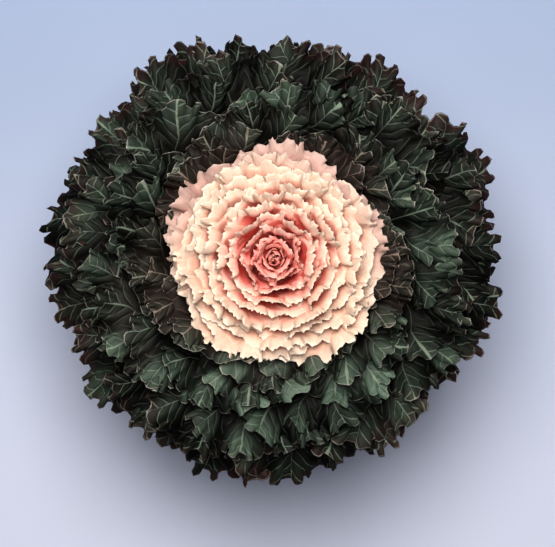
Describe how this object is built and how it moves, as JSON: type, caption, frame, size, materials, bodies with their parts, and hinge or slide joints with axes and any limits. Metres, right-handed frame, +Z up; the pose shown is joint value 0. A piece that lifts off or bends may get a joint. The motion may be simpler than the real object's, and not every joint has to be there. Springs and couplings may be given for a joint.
{
  "type": "ornamental kale plant",
  "caption": "Round rosette of frilled ornamental kale, cream and rose at the heart and dark blue-green outside, standing on its stem in a plain clay pot of soil.",
  "frame": {"origin": "middle of the flat underside of the pot", "axes": "+Z up along the stem, -Y towards the side that is lowest in the picture, +X to its right"},
  "size_m": [0.3256, 0.3216, 0.2914],
  "materials": {
    "clay": "matte",
    "soil": "matte",
    "stalk": "satin",
    "leaf_rose": "satin",
    "leaf_salmon": "satin",
    "leaf_cream": "satin",
    "leaf_mauve_green": "satin",
    "leaf_blue_green": "satin"
  },
  "bodies": {
    "root": {"pot": "clay", "potting_soil": "soil", "stem": "stalk", "heart_bud": "leaf_rose", "head_leaf_01": "leaf_rose", "head_leaf_02": "leaf_rose", "head_leaf_03": "leaf_rose", "head_leaf_04": "leaf_rose", "head_leaf_05": "leaf_rose", "head_leaf_06": "leaf_rose", "head_leaf_07": "leaf_salmon", "head_leaf_08": "leaf_salmon", "head_leaf_09": "leaf_salmon", "head_leaf_10": "leaf_salmon", "head_leaf_11": "leaf_salmon", "head_leaf_12": "leaf_salmon", "head_leaf_13": "leaf_salmon", "head_leaf_14": "leaf_cream", "head_leaf_15": "leaf_cream", "head_leaf_16": "leaf_cream", "head_leaf_17": "leaf_cream", "head_leaf_18": "leaf_cream", "head_leaf_19": "leaf_cream", "head_leaf_20": "leaf_cream", "head_leaf_21": "leaf_cream", "head_leaf_22": "leaf_cream", "head_leaf_23": "leaf_cream", "head_leaf_24": "leaf_cream", "green_leaf_01": "leaf_mauve_green", "green_leaf_02": "leaf_mauve_green", "green_leaf_03": "leaf_mauve_green", "green_leaf_04": "leaf_mauve_green", "green_leaf_05": "leaf_mauve_green", "green_leaf_06": "leaf_mauve_green", "green_leaf_07": "leaf_mauve_green", "green_leaf_08": "leaf_blue_green", "green_leaf_09": "leaf_blue_green", "green_leaf_10": "leaf_blue_green", "green_leaf_11": "leaf_blue_green", "green_leaf_12": "leaf_blue_green", "green_leaf_13": "leaf_blue_green", "green_leaf_14": "leaf_blue_green", "green_leaf_15": "leaf_blue_green", "green_leaf_16": "leaf_blue_green", "green_leaf_17": "leaf_blue_green", "green_leaf_18": "leaf_blue_green", "green_leaf_19": "leaf_blue_green", "green_leaf_20": "leaf_blue_green", "green_leaf_21": "leaf_blue_green", "green_leaf_22": "leaf_blue_green", "green_leaf_23": "leaf_blue_green", "green_leaf_24": "leaf_blue_green", "green_leaf_25": "leaf_blue_green", "green_leaf_26": "leaf_blue_green", "green_leaf_27": "leaf_blue_green", "green_leaf_28": "leaf_blue_green", "green_leaf_29": "leaf_blue_green", "green_leaf_30": "leaf_blue_green", "green_leaf_31": "leaf_blue_green", "green_leaf_32": "leaf_blue_green"}
  },
  "joints": []
}
